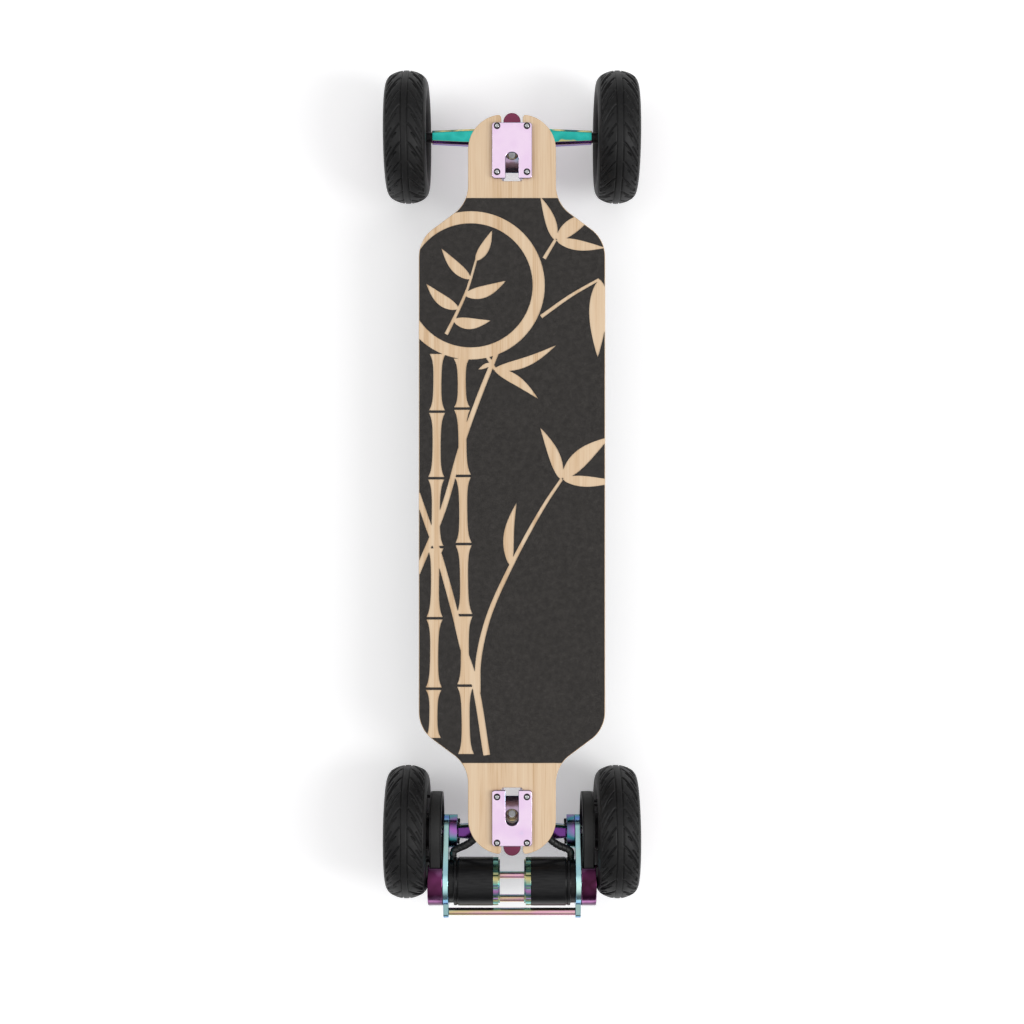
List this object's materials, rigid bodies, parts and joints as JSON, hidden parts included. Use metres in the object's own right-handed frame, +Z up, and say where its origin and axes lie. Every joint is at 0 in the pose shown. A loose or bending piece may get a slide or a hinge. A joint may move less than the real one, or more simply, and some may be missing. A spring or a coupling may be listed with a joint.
{
  "type": "electric skateboard",
  "caption": "Electric skateboard with a bamboo deck, dropped-through double-kingpin trucks, pneumatic tyres, twin belt-drive motors behind the rear axle and a battery case below.",
  "frame": {"origin": "on the ground under the middle of the object's bounding box", "axes": "+Y towards the nose, +X to the rider's right, +Z up"},
  "size_m": [0.336, 1.1286, 0.175],
  "materials": {
    "bamboo": "clear satin over laminated bamboo",
    "grip": "gritty charcoal abrasive sheet",
    "case_black": "satin moulded",
    "seal_black": "matt",
    "screw_black": "black oxide",
    "insert_brass": "plain",
    "sink_grey": "grey anodised",
    "cell_wrap": "shrink wrap",
    "circuit_green": "solder mask",
    "controller_alloy": "plain",
    "socket_steel": "plain",
    "plate_neochrome": "iridescent pink to cyan",
    "link_neochrome": "iridescent purple to brown",
    "hanger_neochrome": "iridescent teal to magenta",
    "mount_neochrome": "iridescent cyan",
    "cover_neochrome": "iridescent dark purple",
    "bar_neochrome": "iridescent gold to pink",
    "rim_neochrome": "iridescent copper to purple",
    "fastener_steel": "zinc plated",
    "nut_gold": "yellow zinc",
    "axle_steel": "ground",
    "bush_urethane": "translucent urethane",
    "motor_black": "satin anodised",
    "tyre_black": "matt with semi-gloss tread",
    "bearing_steel": "ground",
    "pulley_black": "black anodised",
    "pinion_steel": "plain"
  },
  "bodies": {
    "board": {"deck": "bamboo", "grip_tape": "grip", "battery_case": "case_black", "case_gasket": "seal_black", "case_screws": "screw_black", "deck_inserts": "insert_brass", "heat_sink": "sink_grey", "battery_cells": "cell_wrap", "battery_board": "circuit_green", "motor_controller": "controller_alloy", "radio_receiver": "circuit_green", "charge_socket": "socket_steel", "cable_grommets": "seal_black", "front_baseplate": "plate_neochrome", "rear_baseplate": "plate_neochrome", "baseplate_bolts": "fastener_steel", "baseplate_nuts": "nut_gold", "front_inner_bushings": "bush_urethane", "rear_inner_bushings": "bush_urethane", "motor_cables": "seal_black"},
    "power_button": {"power_button": "case_black"},
    "charge_cap": {"charge_cap": "case_black"},
    "front_link": {"front_link": "link_neochrome", "front_kingpins": "fastener_steel", "front_kingpin_nuts": "nut_gold", "front_outer_bushings": "bush_urethane"},
    "rear_link": {"rear_link": "link_neochrome", "rear_kingpins": "fastener_steel", "rear_kingpin_nuts": "nut_gold", "rear_outer_bushings": "bush_urethane"},
    "front_hanger": {"front_hanger": "hanger_neochrome", "front_axle": "axle_steel", "front_axle_nuts": "fastener_steel"},
    "rear_hanger": {"rear_hanger": "hanger_neochrome", "rear_axle": "axle_steel", "rear_axle_nuts": "fastener_steel", "motor_mounts": "mount_neochrome", "mount_clamps": "hanger_neochrome", "mount_bolts": "screw_black", "motor_cans": "motor_black", "motor_end_rings": "bar_neochrome", "belt_covers": "cover_neochrome", "guard_bars": "bar_neochrome", "drive_belts": "seal_black"},
    "front_left_wheel": {"front_left_tyre": "tyre_black", "front_left_rim": "rim_neochrome", "front_left_bearings": "bearing_steel"},
    "front_right_wheel": {"front_right_tyre": "tyre_black", "front_right_rim": "rim_neochrome", "front_right_bearings": "bearing_steel"},
    "rear_left_wheel": {"rear_left_tyre": "tyre_black", "rear_left_rim": "rim_neochrome", "rear_left_bearings": "bearing_steel", "left_wheel_pulley": "pulley_black"},
    "rear_right_wheel": {"rear_right_tyre": "tyre_black", "rear_right_rim": "rim_neochrome", "rear_right_bearings": "bearing_steel", "right_wheel_pulley": "pulley_black"},
    "left_motor_pinion": {"left_motor_pinion": "pinion_steel"},
    "right_motor_pinion": {"right_motor_pinion": "pinion_steel"}
  },
  "joints": [
    {"name": "front_link_steer", "type": "hinge", "parent": "board", "child": "front_link", "pos_m": [0, 0.45185, 0.1205], "axis": [0, 0.866, 0.5], "range_deg": [-8, 8], "stiffness_Nm_per_rad": 150, "deforming": ["front_inner_bushings"]},
    {"name": "front_hanger_steer", "type": "hinge", "parent": "front_link", "child": "front_hanger", "pos_m": [0, 0.45985, 0.0835], "axis": [0, 0.8192, 0.5736], "range_deg": [-8, 8], "deforming": ["front_outer_bushings"]},
    {"name": "rear_link_steer", "type": "hinge", "parent": "board", "child": "rear_link", "pos_m": [0, -0.43215, 0.1205], "axis": [0, -0.866, 0.5], "range_deg": [-8, 8], "stiffness_Nm_per_rad": 150, "deforming": ["rear_inner_bushings"]},
    {"name": "rear_hanger_steer", "type": "hinge", "parent": "rear_link", "child": "rear_hanger", "pos_m": [0, -0.44015, 0.0835], "axis": [0, -0.8192, 0.5736], "range_deg": [-8, 8], "deforming": ["rear_outer_bushings", "motor_cables"]},
    {"name": "front_left_wheel_spin", "type": "hinge", "parent": "front_hanger", "child": "front_left_wheel", "pos_m": [0, 0.47585, 0.0875], "axis": [-1, 0, 0], "continuous": true},
    {"name": "front_right_wheel_spin", "type": "hinge", "parent": "front_hanger", "child": "front_right_wheel", "pos_m": [0, 0.47585, 0.0875], "axis": [-1, 0, 0], "continuous": true},
    {"name": "rear_left_wheel_spin", "type": "hinge", "parent": "rear_hanger", "child": "rear_left_wheel", "pos_m": [0, -0.45615, 0.0875], "axis": [-1, 0, 0], "continuous": true},
    {"name": "rear_right_wheel_spin", "type": "hinge", "parent": "rear_hanger", "child": "rear_right_wheel", "pos_m": [0, -0.45615, 0.0875], "axis": [-1, 0, 0], "continuous": true},
    {"name": "left_motor_spin", "type": "hinge", "parent": "rear_hanger", "child": "left_motor_pinion", "pos_m": [0, -0.51715, 0.1115], "axis": [-1, 0, 0], "continuous": true},
    {"name": "right_motor_spin", "type": "hinge", "parent": "rear_hanger", "child": "right_motor_pinion", "pos_m": [0, -0.51715, 0.1115], "axis": [-1, 0, 0], "continuous": true},
    {"name": "power_button_press", "type": "slide", "parent": "board", "child": "power_button", "axis": [1, 0, 0], "range_m": [0, 0.0015], "stiffness_N_per_m": 800},
    {"name": "charge_cap_hinge", "type": "hinge", "parent": "board", "child": "charge_cap", "pos_m": [0.1132, -0.27115, 0.126], "axis": [0, -1, 0], "range_deg": [0, 90]}
  ],
  "couplings": [
    {"joint": "front_hanger_steer", "follows": "front_link_steer", "ratio": 1},
    {"joint": "rear_hanger_steer", "follows": "rear_link_steer", "ratio": 1},
    {"joint": "left_motor_spin", "follows": "rear_left_wheel_spin", "ratio": 4.2667},
    {"joint": "right_motor_spin", "follows": "rear_right_wheel_spin", "ratio": 4.2667}
  ]
}
